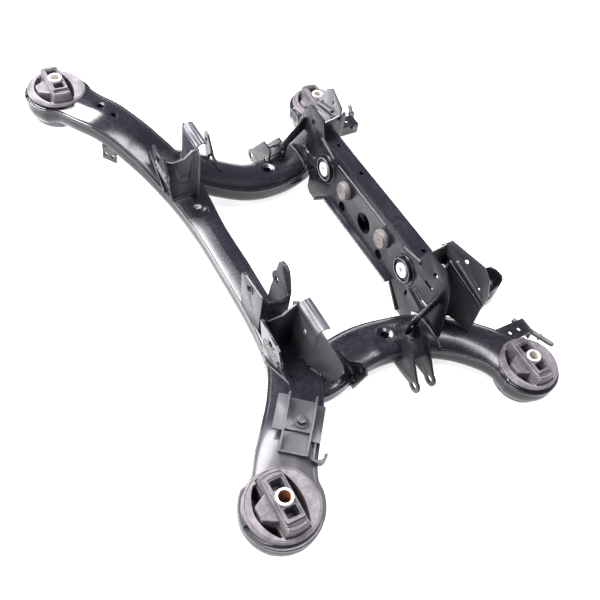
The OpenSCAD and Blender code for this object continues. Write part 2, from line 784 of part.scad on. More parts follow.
left_hanger();
right_hanger();
left_rod();
right_rod();
saddle();
saddle_washer();
saddle_bolt();
hook();
hose_bracket();
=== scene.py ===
# %% [markdown]
# # A rear subframe
# This lesson dresses a welded rear subframe: pressed half shells in black dip coat, four round
# rubber bushings, a pressed plate at the back and the brackets that carry the suspension links.
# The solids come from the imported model, in metres; the new pieces are surfaces worked out with numpy
# in the same frame, and every finish is made of shader nodes.

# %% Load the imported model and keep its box
import json

import bmesh
import bpy
import numpy as np
from mathutils import Matrix


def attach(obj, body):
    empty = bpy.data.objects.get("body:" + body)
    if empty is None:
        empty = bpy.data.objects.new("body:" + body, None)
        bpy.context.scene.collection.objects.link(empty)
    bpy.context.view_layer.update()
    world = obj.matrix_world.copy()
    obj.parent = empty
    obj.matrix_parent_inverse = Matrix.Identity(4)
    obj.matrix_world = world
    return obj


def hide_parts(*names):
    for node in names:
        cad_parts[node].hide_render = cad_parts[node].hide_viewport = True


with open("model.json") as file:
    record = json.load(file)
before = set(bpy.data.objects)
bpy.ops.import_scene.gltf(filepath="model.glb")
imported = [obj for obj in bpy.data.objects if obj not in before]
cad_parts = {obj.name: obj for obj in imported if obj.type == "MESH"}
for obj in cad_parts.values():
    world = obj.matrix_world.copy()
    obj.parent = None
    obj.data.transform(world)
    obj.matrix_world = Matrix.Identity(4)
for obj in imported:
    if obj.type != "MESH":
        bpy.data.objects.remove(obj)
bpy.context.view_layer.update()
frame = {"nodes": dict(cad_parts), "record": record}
nodes = frame["nodes"]
slots = {part["node"]: part["material_slot"] for part in frame["record"]["subparts"]}

# %% [markdown]
# ## Where things are
# The drawing of the part is measured in millimetres from the point midway between the tops of the two
# front sleeves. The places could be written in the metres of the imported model, but then no number
# would match the drawing. So one function carries them over: the floor lies below that point and the
# middle of the part lies behind it.

# %% The point that the part is measured from
BACK, LIFT = 303.1, 211.0


def row(points):
    """Points in millimetres from the sleeve datum, moved back and up and turned to metres."""
    p = np.asarray(points, float)
    return (p + np.array([0.0, -BACK, LIFT])) / 1000.0


print("datum at", row([0, 0, 0]))

# %% [markdown]
# ## Camera
# The camera looks down on the part from the front right, close enough for the near eye to look much
# larger than the far one. A constraint could aim it at a point, but that would keep it level. A small
# roll is part of this view, so its three axes are written out.

# %% Camera
STAND = (787.83, -291.61, 945.09)
LENS, SENSOR = 45.0, 36.0
look = np.array([-0.48827, 0.38959, -0.78091])
right = np.array([0.47983, 0.86727, 0.13265])
up = np.cross(right, look)
camera = bpy.data.objects.new("camera", bpy.data.cameras.new("camera"))
camera.data.lens, camera.data.sensor_width = LENS, SENSOR
place = np.eye(4)
place[:3, 0], place[:3, 1], place[:3, 2] = right, up, -look
place[:3, 3] = row(STAND)
camera.matrix_world = Matrix(place.tolist())
bpy.context.scene.collection.objects.link(camera)
bpy.context.scene.camera = camera
print("camera at", place[:3, 3].round(3))

# %% [markdown]
# ## Shader maths as expressions
# No finish on a used part is one flat colour: dust, wear and grain change it from place to place, and
# each change is a small sum of noise patterns. The sums could be wired by hand in the node editor.
# Here a small class wraps a socket, so that adding or multiplying two of them adds the Math node and
# the formula stays readable. Every other node comes from one method of a finish.

# %% A socket that does arithmetic
class Wire:
    """A socket of a finish; arithmetic with it adds Math nodes."""

    def __init__(self, finish, socket):
        self.finish, self.socket = finish, socket

    def math(self, operation, a, b):
        """One Math node on two wires or numbers."""
        return self.finish.add("ShaderNodeMath", {0: a, 1: b}, operation=operation)

    def __add__(self, other):
        return self.math("ADD", self, other)

    __radd__ = __add__

    def __sub__(self, other):
        return self.math("SUBTRACT", self, other)

    def __rsub__(self, other):
        return self.math("SUBTRACT", other, self)

    def __mul__(self, other):
        return self.math("MULTIPLY", self, other)

    __rmul__ = __mul__

    def ramp(self, low, high):
        """0 below low, 1 above high, smooth between."""
        sockets = {0: self, 1: low, 2: high, 3: 0.0, 4: 1.0}
        return self.finish.add("ShaderNodeMapRange", sockets, interpolation_type="SMOOTHSTEP")


print("a wire adds, subtracts and multiplies")

# %% [markdown]
# ## What a finish is made of
# A material in Blender is a tree of nodes that ends in one shader. Its nodes could be named and linked
# one by one, but every finish here needs the same few: noise, a mix of two colours, a bump. So a
# finish keeps its tree, and has a short method for each of these.

# %% A finish and its nodes
class Finish:
    """A material and the nodes that make it."""

    def __init__(self, name):
        self.material = bpy.data.materials.new(name)
        self.material.use_nodes = True
        self.tree = self.material.node_tree
        self.tree.nodes.clear()
        self.output = self.tree.nodes.new("ShaderNodeOutputMaterial")
        self.place = self.add("ShaderNodeTexCoord", out="Object")

    def add(self, kind, inputs=None, out=0, **settings):
        """Adds one node: settings first, then the values or links of its sockets."""
        node = self.tree.nodes.new(kind)
        for key, value in settings.items():
            setattr(node, key, value)
        for key, value in (inputs or {}).items():
            if isinstance(value, Wire):
                self.tree.links.new(value.socket, node.inputs[key])
            else:
                node.inputs[key].default_value = value
        return Wire(self, node.outputs[out])

    def noise(self, scale, detail, rough, place=None, warp=0.0):
        """Cloudy values round one half; a larger scale makes finer clouds."""
        sockets = {"Scale": scale, "Detail": detail, "Roughness": rough, "Distortion": warp}
        return self.add("ShaderNodeTexNoise", {"Vector": place or self.place, **sockets})

    def mix(self, factor, a, b):
        """Colour a where factor is 0, colour b where it is 1."""
        a = a if isinstance(a, Wire) else (*a, 1.0)
        b = b if isinstance(b, Wire) else (*b, 1.0)
        return self.add("ShaderNodeMix", {0: factor, 6: a, 7: b}, out=2, data_type="RGBA")

    def bump(self, height, strength, distance):
        """A normal tilted by the slope of a height that spans the distance, in metres."""
        return self.add("ShaderNodeBump", {"Strength": strength, "Distance": distance, "Height": height})

    def close(self, **sockets):
        """Ends in one Principled shader with these sockets."""
        names = {k: k.replace("_", " ").title().replace("Ior Level", "IOR Level") for k in sockets}
        shader = self.add("ShaderNodeBsdfPrincipled", {names[k]: v for k, v in sockets.items()})
        self.tree.links.new(shader.socket, self.output.inputs["Surface"])
        return self.material


print("a finish adds noise, mixes and bumps")

# %% [markdown]
# ## Black dip coat
# The pressings are dipped in black electro-coat: nearly black with a cold cast, semi-gloss, with a
# faint orange peel and a film of dust that dulls it in patches. A painted image could show that, but
# every pressing would have to be unfolded for it. Noise on object coordinates needs no unfolding and
# runs on from one pressing to the next.

# %% Black dip coat
COLD_BLACK, GREY_FILM = (0.0105, 0.0098, 0.0145), (0.040, 0.0365, 0.048)
THICK_DUST_AND_TROUGH_LIGHT, PALE_SPECK = (0.085, 0.079, 0.092), (0.20, 0.19, 0.20)
SHINE, CLEAR_COAT = 0.45, 0.35


def dip_coat(name, tone=COLD_BLACK, dusty=GREY_FILM, gloss=0.22, shine=SHINE, painted_light_band=None):
    """Base: black with a cold cast; thin dust lifts it to grey in patches and roughens it.

    The near arm, where X is large and Y is low, was handled most and carries the thickest dust.
    In a trough a band of Y behind the front wall takes the place of the near arm, rising between
    its two values; the greys added there are partly dust and partly painted light falling into the trough.
    """
    f = Finish(name)
    wide = f.noise(6.0, 4.0, 0.55)
    fine = f.noise(120.0, 4.0, 0.6)
    speck = f.noise(620.0, 2.0, 0.5)
    x = f.add("ShaderNodeSeparateXYZ", {"Vector": f.place}, out="X")
    y = f.add("ShaderNodeSeparateXYZ", {"Vector": f.place}, out="Y")
    # in a trough the mask is the band of Y, where grey is painted in as light falling into it, with some
    # dust
    near = y.ramp(*painted_light_band) if painted_light_band else (x - y * 1.2).ramp(0.50, 0.78)
    dust_and_trough_light = (wide * 0.7 + fine * 0.3).ramp(0.46, 0.70) + near * 0.4
    dots = speck.ramp(0.70, 0.78) * dust_and_trough_light
    colour = f.mix(dust_and_trough_light * 0.55, tone, dusty)
    patch = wide.ramp(0.40, 0.62) * 0.45
    # thick grey: dust on the near arm; over a trough's band, painted light with some dust
    colour = f.mix(near * (patch + 0.45 if painted_light_band else patch), colour, THICK_DUST_AND_TROUGH_LIGHT)
    colour = f.mix(dots * 0.5, colour, PALE_SPECK)
    rough = gloss + dust_and_trough_light * 0.13 + fine * 0.05 + near * 0.10
    return f.close(
        base_color=colour,
        roughness=rough,
        normal=f.bump(wide * 0.8 + fine * 0.2, 0.06, 0.0012),
        specular_ior_level=shine,
        coat_weight=CLEAR_COAT * shine / SHINE,
        coat_roughness=0.16,
    )


finishes = {
    "coated_steel": dip_coat("black_dip_coat"),
    "plate_coat": dip_coat("plate_coat", dusty=(0.024, 0.022, 0.029), shine=0.24),
    # painted light: the troughs of the link brackets are lit grey behind their front walls
    "trough_coat_painted_light": dip_coat("trough_coat_painted_light", shine=0.36, painted_light_band=(-0.182, -0.150)),
    "tower_coat": dip_coat("tower_coat", (0.030, 0.028, 0.033), (0.075, 0.069, 0.078), 0.30),
    "dusty_steel": dip_coat("dusty_coat", (0.038, 0.035, 0.041), (0.095, 0.087, 0.097), 0.36),
}
print("coats:", list(finishes))

# %% [markdown]
# ## Dull greys
# The cans and cast cores of the bushings, their rubber and the plugs are dull, blotched and a little
# warm. Each could have a finish of its own, but they differ only in two greys, in roughness and in
# how fine the grain is. So one function makes them all.

# %% Dull grey of cans, cores, rubber and plugs
def dull_grey(name, low, high, rough=0.62, grain=260.0):
    """Two greys mixed by blotches and grain, under patches of grime at less than half the low grey."""
    f = Finish(name)
    blotch = f.noise(38.0, 5.0, 0.6, warp=0.4)
    fine = f.noise(grain, 4.0, 0.6)
    grime = f.noise(75.0, 6.0, 0.7).ramp(0.56, 0.72)
    colour = f.mix((blotch * 0.7 + fine * 0.3).ramp(0.36, 0.64), low, high)
    colour = f.mix(grime * 0.45, colour, tuple(0.45 * v for v in low))
    normal = f.bump(fine * 0.7 + blotch * 0.3, 0.18, 0.0008)
    return f.close(base_color=colour, roughness=rough + fine * 0.15 - 0.07, normal=normal)


RUBBER_LOW, RUBBER_HIGH = (0.066, 0.058, 0.064), (0.145, 0.127, 0.139)
greys = {
    "can_steel": dull_grey("can_grey", (0.095, 0.086, 0.095), (0.185, 0.168, 0.182)),
    "core_metal": dull_grey("core_grey", (0.050, 0.046, 0.052), (0.120, 0.110, 0.122), 0.42),
    "bushing_rubber": dull_grey("bushing_rubber", RUBBER_LOW, RUBBER_HIGH, 0.55, 420.0),
    "dark_rubber": dull_grey("dark_rubber", (0.016, 0.015, 0.017), (0.040, 0.036, 0.040), 0.55, 420.0),
    "plug_grey": dull_grey("plug_grey", (0.095, 0.083, 0.083), (0.160, 0.142, 0.142), 0.50, 600.0),
}
finishes.update(greys)
print("greys:", list(greys))

# %% [markdown]
# ## Bright turned metal
# Only the turned sleeves, the bolts and the rods show bare metal. A lathe leaves rings far finer than
# a pixel, so they are not modelled: noise squeezed along the axis stands for them. The inside of a
# sleeve has rusted. A value kept at each point of the mesh says where, so no second finish is needed.

# %% Bright turned metal and plated bolts
DARK_RUST, PALE_RUST = (0.16, 0.070, 0.035), (0.40, 0.20, 0.11)


def bright_metal(name, tone, rough, scale=700.0):
    """Metal with fine turning marks along Z, a few dull patches, and rust where "bore" is marked."""
    f = Finish(name)
    stretch = f.add("ShaderNodeMapping", {"Vector": f.place, "Scale": (1.0, 1.0, 9.0)})
    marks = f.noise(scale, 3.0, 0.6, place=stretch)
    dull = f.noise(60.0, 4.0, 0.6).ramp(0.5, 0.7)
    bore = f.add("ShaderNodeAttribute", out="Fac", attribute_name="bore")
    colour = f.mix(dull * 0.5 + marks * 0.15, tone, tuple(0.72 * v for v in tone))
    return f.close(
        base_color=f.mix(bore, colour, f.mix(marks, DARK_RUST, PALE_RUST)),
        roughness=rough + dull * 0.2 + marks * 0.1 + bore * 0.3,
        metallic=0.55 - bore * 0.5,
        normal=f.bump(marks, 0.12, 0.0004),
    )


metals = {
    "sleeve_metal": bright_metal("sleeve_metal", (0.86, 0.86, 0.85), 0.30),
    "plated_steel": bright_metal("plated_steel", (0.30, 0.29, 0.285), 0.40),
    "rod_steel": bright_metal("rod_steel", (0.13, 0.128, 0.132), 0.40),
}
finishes.update(metals)
print("metals:", list(metals))

# %% [markdown]
# ## A finish for each solid
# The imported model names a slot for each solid: coated steel, rubber and so on. The finishes could be
# given piece by piece, but the slot already says which one belongs where.

# %% Give each solid its finish
for node, slot in slots.items():
    nodes[node].data.materials.clear()
    nodes[node].data.materials.append(finishes[slot])
print("slots in use:", sorted(set(slots.values())))

# %% [markdown]
# ## Surfaces from grids
# Every new piece is a grid of points: one direction runs along the piece and the other across it.
# Neighbouring points become the four corners of a face, and the last column joins the first, so that
# no seam opens. Pushing and pulling vertices by hand could give the same forms, but nobody could read
# their sizes afterwards.

# %% Grids and islands
def faces(n, m):
    """Corner numbers of the faces of an n by m grid whose last column joins the first."""
    i, j = np.meshgrid(np.arange(n - 1), np.arange(m), indexing="ij")
    k = (j + 1) % m
    return np.stack([i * m + j, i * m + k, (i + 1) * m + k, (i + 1) * m + j], -1).reshape(-1, 4)


def island(grid, turn=False):
    """A grid that closes on itself as (points, faces); turn swaps the outward side."""
    f = faces(*grid.shape[:2])
    return grid.reshape(-1, 3), f[:, ::-1] if turn else f


def join(islands):
    """Several islands as one: the faces of each count on from the points before them."""
    start = np.cumsum([0] + [len(p) for p, _ in islands[:-1]])
    quads = [f + s for (_, f), s in zip(islands, start)]
    return np.vstack([p for p, _ in islands]), np.vstack(quads)


print("faces of a closed grid of 3 by 8 points:", len(faces(3, 8)))

# %% [markdown]
# ## From points to pieces
# A pole is a whole row of points in one place, so points that coincide are merged when an island
# becomes a mesh. A finished piece then gets its finish and smooth faces with sharp folds, and the
# solids that it stands for are hidden.

# %% Meshes, pieces and their finish
TOUCH, SLIVER = 2e-6, 1e-6


def mesh_of(name, points, quads):
    """A mesh in metres without doubled points, from points in millimetres."""
    mesh = bpy.data.meshes.new(name)
    mesh.from_pydata(row(points).tolist(), [], quads.tolist())
    work = bmesh.new()
    work.from_mesh(mesh)
    bmesh.ops.remove_doubles(work, verts=work.verts, dist=TOUCH)
    bmesh.ops.dissolve_degenerate(work, edges=work.edges, dist=SLIVER)
    bmesh.ops.recalc_face_normals(work, faces=work.faces)
    work.to_mesh(mesh)
    work.free()
    return mesh


def solid(name, islands):
    """An object in the scene made of closed islands."""
    obj = bpy.data.objects.new(name, mesh_of(name, *join(islands)))
    bpy.context.scene.collection.objects.link(obj)
    return obj


def dress(obj, slot, replaced=(), sharp=40.0, look=None):
    """Gives a finished piece its finish and its smooth faces, and hides the solids that it stands for."""
    obj.data.materials.clear()
    obj.data.materials.append(finishes[look or slot])
    obj.data.polygons.foreach_set("use_smooth", np.ones(len(obj.data.polygons), bool))
    obj.data.set_sharp_from_angle(angle=np.radians(sharp))
    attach(obj, "root")
    if replaced:
        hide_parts(*replaced)
    return obj


print("points closer than", TOUCH, "m are one")

# %% [markdown]
# ## Cutting and joining
# Holes could be left open in a grid, but then every grid would have to follow every hole. Closed
# pieces are cut by closed pieces instead: the boolean gives a clean edge wherever the hole lies, and
# the piece stays closed. The cutters of one cut may not overlap, so overlapping ones take turns.

# %% Cut and merge
def baked(obj):
    """Keeps what the modifiers make as the mesh itself."""
    bpy.context.view_layer.update()
    made = bpy.data.meshes.new_from_object(obj.evaluated_get(bpy.context.evaluated_depsgraph_get()))
    obj.modifiers.clear()
    obj.data = made
    return obj


def combine(obj, other, operation):
    """One boolean of two closed pieces; the other one is used up."""
    step = obj.modifiers.new("combine", "BOOLEAN")
    step.operation, step.solver, step.object = operation, "MANIFOLD", other
    baked(obj)
    bpy.data.objects.remove(other)
    return obj


def cut(obj, islands):
    """Takes the joined closed islands out of a closed piece."""
    return combine(obj, solid("cutter", islands), "DIFFERENCE")


def merge(obj, other):
    """Joins another closed piece to a closed piece."""
    return combine(obj, other, "UNION")


print("pieces can be cut and merged")

# %% [markdown]
# ## Turned forms
# Cans, sleeves, holes and rings are all turned: a profile of radius and height goes once round an
# axis. Blender's own cylinders would need their edges rounded afterwards; here the rounding is part
# of the profile.

# %% Turned forms
def lathe(profile, at=(0, 0, 0), axis="z", n=96):
    """Each (radius, height) of the profile turned once round the axis; ends of radius 0 close it."""
    p = np.asarray(profile, float)
    a = np.linspace(0, 2 * np.pi, n, endpoint=False)
    ring = np.stack([np.cos(a), np.sin(a)], -1)
    grid = np.empty((len(p), n, 3))
    grid[..., :2] = p[:, None, :1] * ring
    grid[..., 2] = p[:, None, 1]
    if axis == "y":
        grid = grid[..., [0, 2, 1]] * [1, 1, -1]
    return island(grid + np.asarray(at, float))


def drum(x, y, z0, z1, r, n=40):
    """A closed upright cylinder."""
    return lathe([(0, z0), (r, z0), (r, z1), (0, z1)], (x, y, 0), n=n)


print("points of a drum:", len(drum(0, 0, 0, 1, 1)[0]))

# %% [markdown]
# ## Plates and bars
# Blocks, wedges and windows are an outline stood up into a plate, and a trimming tool is an outline
# carried along a line. They could be flat curves with an extrusion, which Blender would have to turn
# into meshes. As arrays they are meshes from the start, closed at both ends.

# %% Plates and bars
def slab(outline, z0, z1, edge, at=(0, 0, 0), steps=5, top=None):
    """An outline in plan stood up from z0 to z1; each end draws in along a quarter circle.

    With a top outline of as many points, the sides lean evenly from the one to the other.
    """
    p = np.asarray(outline, float)
    lean = np.zeros_like(p) if top is None else np.asarray(top, float) - p
    out = np.roll(p, -1, 0) - np.roll(p, 1, 0)
    out = np.stack([out[:, 1], -out[:, 0]], -1) / np.linalg.norm(out, axis=1, keepdims=True)
    if (p[:, 0] * np.roll(p[:, 1], -1) - p[:, 1] * np.roll(p[:, 0], -1)).sum() < 0:
        out = -out
    a = np.linspace(0, np.pi / 2, steps)
    inset = np.concatenate([edge * (1 - np.sin(a)), edge * (1 - np.cos(a))])
    high = np.concatenate([z0 + edge * (1 - np.cos(a)), z1 - edge + edge * np.sin(a)])
    inset = np.concatenate([[0], inset, [0]])[:, None, None]
    high = np.concatenate([[z0], high, [z1]])[:, None]
    flat = p + lean * ((high - z0) / (z1 - z0))[..., None] - inset * out
    flat[[0, -1]] = flat[[0, -1]].mean(1, keepdims=True)
    rings = np.concatenate([flat, np.broadcast_to(high[..., None], (*flat.shape[:2], 1))], -1)
    return island(rings + np.asarray(at, float))


def bar(outline, x0, x1):
    """An outline in Y and Z carried straight along X and closed at both ends by its middle point."""
    p = np.asarray(outline, float)
    middle = np.broadcast_to(p.mean(0), p.shape)
    rings = np.stack([middle, p, p, middle])
    x = np.broadcast_to(np.array([x0, x0, x1, x1], float)[:, None, None], (4, len(p), 1))
    return island(np.concatenate([x, rings], -1))


print("points of a square bar:", len(bar([(0, 0), (1, 0), (1, 1), (0, 1)], 0, 1)[0]))

# %% [markdown]
# ## Beads
# Welds, ridges and rims are thin tubes along a path. A bevelled curve would give an even tube with
# open ends. Here the radius is a formula, so a weld can ripple and every end closes in a point.

# %% Beads
def bead(path, r, ripple=0.0, pitch=4.0, n=10):
    """A tube round a path; its radius is r (1 + ripple sin(2 pi s / pitch)) at the length s.

    Within r of an end it shrinks to a point, as the square root of what is left of the path.
    """
    p = np.asarray(path, float)
    s = np.concatenate([[0], np.cumsum(np.linalg.norm(np.diff(p, axis=0), axis=1))])
    at = np.linspace(0, s[-1], max(int(s[-1]), 4))
    c = np.stack([np.interp(at, s, p[:, k]) for k in range(3)], -1)
    go = np.gradient(c, axis=0)
    go /= np.linalg.norm(go, axis=1, keepdims=True)
    side = np.cross(go, np.where(np.abs(go[:, 2:]) > 0.9, [[1.0, 0, 0]], [[0, 0, 1.0]]))
    side /= np.linalg.norm(side, axis=1, keepdims=True)
    over = np.cross(side, go)
    ends = np.sqrt(np.clip(np.minimum(at, s[-1] - at) / r, 0, 1))
    size = r * (1 + ripple * np.sin(2 * np.pi * at / pitch)) * ends
    a = np.linspace(0, 2 * np.pi, n, endpoint=False)[:, None]
    ring = side[:, None] * np.cos(a) + over[:, None] * np.sin(a)
    return island(c[:, None] + size[:, None, None] * ring)


print("points of a bead of 50 mm:", len(bead([(0, 0, 0), (50, 0, 0)], 3.0)[0]))

# %% [markdown]
# ## Pressed half shells
# Each member is two pressings welded along a seam. A row gives the middle of the member in plan, the
# height of the seam, half the width, and how far the shell rises above the seam and hangs below it.
# A box with a Subdivision modifier could be bent to this, but it would not keep the rows. Here a
# smooth curve runs through them. Near an eye the half width follows the circle of the eye, so the arm
# and the eye are one pressing, as they are on the real part.

# %% Paths of the members
EYE = 57.0  # radius of an eye
BLEND = 30.0  # square millimetres that soften the corner between an arm and its eye


def through(rows, n):
    """Catmull-Rom curve: every span is a cubic of t that blends its four nearest rows."""
    c = np.asarray(rows, float)
    k = np.arange(len(c) - 1)
    a, b = c[np.maximum(k - 1, 0)][:, None], c[k][:, None]
    d, e = c[k + 1][:, None], c[np.minimum(k + 2, len(c) - 1)][:, None]
    t = (np.arange(n) / n)[None, :, None]
    span = 2 * b + (d - a) * t + (2 * a - 5 * b + 4 * d - e) * t**2 + (3 * b - a - 3 * d + e) * t**3
    return np.vstack([0.5 * span.reshape(-1, c.shape[1]), c[-1]])


def with_eye(rows, n, far=26):
    """A path whose last row is the middle of an eye, carried straight on to the far rim.

    Near the eye the half width is the larger of the arm and the circle, blended by a hyperbola.
    """
    path = through(rows, n)
    centre = path[-1, :2]
    go = centre - path[-2, :2]
    go = go / np.linalg.norm(go)
    s = EYE * np.sin(np.linspace(0, np.pi / 2, far))[1:]
    beyond = np.tile(path[-1], (len(s), 1))
    beyond[:, :2] += s[:, None] * go
    beyond[:, 3] = 0.0
    path = np.vstack([path, beyond])
    q = np.linalg.norm(path[:, :2] - centre, axis=1)
    ring = np.sqrt(np.maximum(EYE**2 - q**2, 0.0))
    arm = path[:, 3]
    both = 0.5 * (arm + ring + np.sqrt((arm - ring) ** 2 + BLEND * (ring > 0)))
    path[:, 3] = np.where(arm > 0, both, ring)
    return path


print("an eye is", 2 * EYE, "mm across")

# %% [markdown]
# ## The rows of the members
# The crossmember is alike on both sides, so its rows run from the middle to the right eye. Those of a
# rail run from the crossmember to the rear eye. In the scene the seam lies 6 mm higher than in the
# solids: the upper shell loses that height and the lower one gains it. The half width gives up the
# 4 mm by which the lower wall swells, so that the outline stays.

# %% The rows of the crossmember and of a rail
half_rows = np.array([
    [0, 168, -138, 29, 10, 30],
    [100.8, 167, -138, 29, 10, 30],
    [192, 164, -132, 36, 13, 31],
    [259.2, 150, -113, 44, 18, 32],
    [330, 108, -76, 45, 20, 32],
    [380, 70, -51, 45, 20, 30],
    [420, 39, -46, 46, 18, 29],
    [463, 14, -46, 47, 16, 30],
    [480, 0, -46, 47, 16, 30],
], float)
rail_rows = np.array([
    [276, 152, -116, 46, 16, 26],
    [273, 195, -124, 46, 22, 30],
    [252, 252, -148, 44, 25, 30],
    [236, 312, -165, 43, 26, 30],
    [236, 370, -172, 42, 26, 30],
    [250, 430, -172, 42, 26, 30],
    [285, 492, -172, 42, 26, 30],
    [334, 541, -170, 43, 21, 31],
    [380, 569, -169, 47, 16, 32],
    [400, 577, -169, 47, 16, 32],
], float)
BULGE, SEAM_UP, LEAST_RISE = 4.0, 6.0, 6.0
RAISE = np.array([0, 0, SEAM_UP, -BULGE, -SEAM_UP, SEAM_UP])
half_rows, rail_rows = half_rows + RAISE, rail_rows + RAISE
half_rows[:, 4] = np.maximum(half_rows[:, 4], LEAST_RISE)
MIRROR = np.array([-1, 1, 1, 1, 1, 1.0])
right_arm = with_eye(half_rows, 26)
cross_path = np.vstack([(right_arm * MIRROR)[:0:-1], right_arm])
right_rail = with_eye(rail_rows, 22)
print("stations:", len(cross_path), len(right_rail))

# %% [markdown]
# ## From a path to a shell
# Across the member the height depends only on the distance from the outline: it climbs along a curve
# and then runs level, which gives the same rounded edge all the way round the eye. A drain or
# locating hole of a pressing sits in a shallow dish, so the shell is lowered round such a hole before
# it is cut.

# %% One half shell
SEAM, LAP = 3.0, 4.5  # half the thickness of the welded flange, and its width
ACROSS = 15  # points on the rolled edge, and as many on the level part
DISH_FLOOR = 0.35  # share of the radius of a dish that is level


def shell(path, up, edge, power, dishes=()):
    """The grid of one half shell of a path, in millimetres: stations by points across.

    The edge follows a superellipse: (1 - share)^p + (rise)^p = 1, squarer for a larger power. The
    wall of a lower shell also swells out past the seam, by a half sine of its depth.
    """
    c, wide = path[:, :2], path[:, 3]
    go = np.gradient(c, axis=0)
    step = np.linalg.norm(go, axis=1)
    go = go / step[:, None]
    side = np.stack([-go[:, 1], go[:, 0]], -1)
    slope = np.gradient(wide) / step
    lean = 1 / np.sqrt(1 + slope**2)
    tall = path[:, 4] if up else path[:, 5]
    sign, swell = (1.0, 0.0) if up else (-1.0, BULGE)
    a = np.linspace(0, np.pi / 2, ACROSS)
    room = wide * lean
    bend = np.minimum(edge, 0.9 * room)
    near = bend[:, None] * (1 - np.cos(a))
    level = bend[:, None] + (room - bend)[:, None] * np.linspace(0, 1, ACROSS)[1:]
    d = np.concatenate([near, level], 1)
    share = np.minimum(d / np.maximum(edge, 1e-6), 1.0)
    high = SEAM + (tall[:, None] - SEAM) * (1 - (1 - share) ** power) ** (1 / power)
    across = 1 - d / np.maximum(room, 1e-6)[:, None]
    out = np.stack([-slope * lean, lean], -1)
    out[0], out[-1] = (out[0], [1.0, 0.0]) if wide[0] > 1 else ([-1.0, 0.0], [1.0, 0.0])
    rim = [(LAP, 0.0), (LAP, SEAM - 1.0), (LAP - 0.4, SEAM - 0.3), (LAP - 1.2, SEAM), (0.4, SEAM)]

    def half(s):
        edge_at = c + s * side * wide[:, None]
        normal = go * out[:, :1] + s * side * out[:, 1:]
        lip = [np.column_stack([edge_at + f * normal, path[:, 2] + sign * z]) for f, z in rim]
        flat = c[:, None] + s * side[:, None] * (wide[:, None] * across)[..., None]
        flat = flat + normal[:, None] * (swell * np.sin(np.pi * high / tall[:, None]))[..., None]
        body = np.concatenate([flat, (path[:, 2, None] + sign * high)[..., None]], -1)
        return np.concatenate([np.stack(lip, 1), body], 1)

    grid = np.concatenate([half(1.0), half(-1.0)[:, -2::-1]], 1)
    for x, y, r, deep in dishes:
        q = np.clip(np.hypot(grid[..., 0] - x, grid[..., 1] - y) / r, 0, 1)
        q = np.clip((q - DISH_FLOOR) / (1 - DISH_FLOOR), 0, 1)
        grid[..., 2] -= sign * deep * (0.5 + 0.5 * np.cos(np.pi * q))
    return grid


def member(path, up, edge, power, dishes=()):
    """A half shell closed along the seam, and by its middle point where a path starts wide."""
    grid = shell(path, up, edge, power, dishes)
    if path[0, 3] > 1:
        grid = np.concatenate([np.broadcast_to(grid[:1].mean(1, keepdims=True), grid[:1].shape), grid])
    return island(grid, up)


CROSS_ROLL, RAIL_ROLL, UNDER_ROLL = (36.0, 1.4), (38.0, 1.7), (15.0, 3.0)
print("grid of the crossmember's upper shell:", shell(cross_path, True, *CROSS_ROLL).shape)

# %% [markdown]
# ## Crossmember
# The front crossmember is bowed in plan, and its arms rise to the two front eyes. It could be built
# of a beam, two arms and two rings, but then four joints would show that the pressing does not have.
# So each pressing is one grid from eye to eye, bored and cut afterwards.

# %% Crossmember shells, with the eyes bored and the holes dished and cut
BORE = 50.0
cross_dish = [(-153.6, 166, 19, 5.0), (-406, 62, 14, 3.0), (-376, 79, 11, 2.0)]
bores = [drum(s * 480, 0, -120, 20, BORE, 96) for s in (-1, 1)]
holes = [drum(-153.6, 166, -137, -60, 7), drum(-406, 62, -45, 0, 6), drum(-376, 79, -45, 0, 5.5)]
drains = [drum(s * 486, -57, -46, 0, 4.5) for s in (-1, 1)]
upper = solid("crossmember_top", [member(cross_path, True, *CROSS_ROLL, cross_dish)])
cut(upper, bores + holes + drains)
dress(upper, "coated_steel", ["front_crossmember_upper", "front_left_eye", "front_right_eye"])
lower = solid("crossmember_bottom", [member(cross_path, False, *UNDER_ROLL)])
cut(lower, bores + [drum(s * 72, 168, -180, -139, 8) for s in (-1, 1)])
dress(lower, "coated_steel", ["front_crossmember_lower"])
print("crossmember faces:", len(upper.data.polygons), len(lower.data.polygons))

# %% [markdown]
# ## Rails
# The side rails run back from the crossmember, in at the waist and out to the rear eyes. A Mirror
# modifier could make the left one, but each side replaces solids of its own. So the path is mirrored
# and both sides are made in one loop.

# %% Rails: one path, mirrored for the left side
for name, k in (("right", 1), ("left", -1)):
    path = right_rail * np.where(np.arange(6) == 0, k, 1)
    bore = drum(k * 400, 577, -260, -100, BORE, 96)
    top = solid(name + "_rail_top", [member(path, True, *RAIL_ROLL, [(k * 236, 361, 18, 5.0)])])
    cut(top, [bore, drum(k * 236, 361, -171, -100, 7.5)])
    dress(top, "coated_steel", [name + "_rail_upper", "rear_" + name + "_eye"])
    low = solid(name + "_rail_bottom", [member(path, False, *UNDER_ROLL)])
    cut(low, [bore, drum(k * 240, 330, -230, -173, 9)])
    dress(low, "coated_steel", [name + "_rail_lower"])
    print(name, "rail faces:", len(top.data.polygons), len(low.data.polygons))

# %% [markdown]
# ## Welds
# Where a wall stands on a shell there is a rippled bead. A bump in the finish could hint at it, but
# it would not catch the light at a grazing angle. So it is a tube along the line where the grid of
# the shell passes the plane of the wall, and it lies on both.

# %% Weld beads
INNER_WALL, FRONT_WALL, PLATE_WALL = 196.0, 119.5, 446.5
FLARE = ([0.3843, 0.9232, 0], 60.0)
WELD, RIPPLE = 2.8, 0.16  # radius of a bead, and the share of it that the ripple adds
SMOOTH = 60.0  # degrees between faces up to which a thin bead stays smooth


